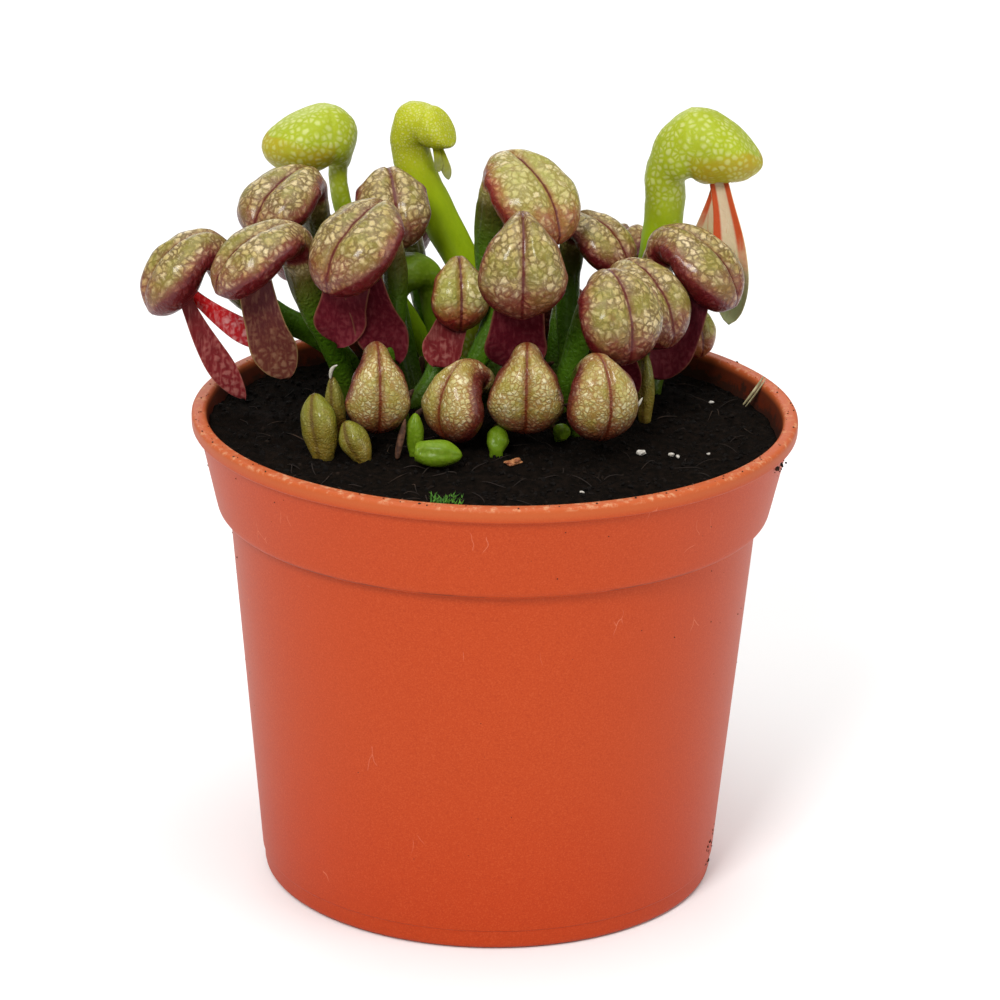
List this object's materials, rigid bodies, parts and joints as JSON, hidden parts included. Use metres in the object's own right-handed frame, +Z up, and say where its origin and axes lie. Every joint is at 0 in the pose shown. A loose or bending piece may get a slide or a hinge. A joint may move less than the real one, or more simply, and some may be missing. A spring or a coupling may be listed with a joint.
{
  "type": "potted pitcher plant",
  "caption": "Young hooded pitcher plant: netted, bent-over hooded leaves rising from a soil-filled round plastic pot with a collared rim.",
  "frame": {"origin": "centre of the pot's flat underside, on the surface that it stands on", "axes": "+Z up; +X to the right and +Y away from a viewer at the plant's front, where the small front leaves are"},
  "size_m": [0.0979, 0.0914, 0.1115],
  "materials": {
    "plastic": "satin terracotta-orange moulded plastic",
    "soil": "moist dark peat with fibres",
    "crown": "brown knobbly crown and roots",
    "red_leaf": "glossy netted leaf, olive above and crimson below",
    "green_leaf": "glossy yellow-green leaf",
    "olive_leaf": "waxy olive young leaf",
    "moss": "soft green moss",
    "bark": "orange-brown bark",
    "straw": "dry straw"
  },
  "bodies": {
    "root": {"pot": "plastic", "soil": "soil", "crown": "crown", "hood_far_left": "red_leaf", "hood_left": "red_leaf", "hood_upper_left": "red_leaf", "green_hood_left": "green_leaf", "hood_centre_left": "red_leaf", "hood_behind_left": "red_leaf", "green_hood_slim": "green_leaf", "hood_top": "red_leaf", "hood_centre": "red_leaf", "hood_small_centre": "red_leaf", "hood_upper_right": "red_leaf", "hood_right_rear": "red_leaf", "hood_right_front": "red_leaf", "hood_far_right": "red_leaf", "green_hood_tall": "green_leaf", "front_hood_1": "red_leaf", "front_hood_2": "red_leaf", "front_hood_3": "red_leaf", "front_hood_4": "red_leaf", "green_hood_low": "green_leaf", "hood_rim_right": "red_leaf", "rear_hood_1": "red_leaf", "rear_hood_2": "red_leaf", "rear_hood_3": "red_leaf", "rear_hood_4": "red_leaf", "rear_hood_5": "red_leaf", "rear_hood_6": "red_leaf", "young_leaf_1": "olive_leaf", "young_leaf_2": "olive_leaf", "young_leaf_3": "olive_leaf", "young_leaf_4": "green_leaf", "young_leaf_5": "green_leaf", "young_leaf_6": "green_leaf", "young_leaf_7": "green_leaf", "young_leaf_8": "olive_leaf", "young_leaf_9": "green_leaf", "bark_chip": "bark", "moss_tuft": "moss", "straw": "straw"}
  },
  "joints": []
}
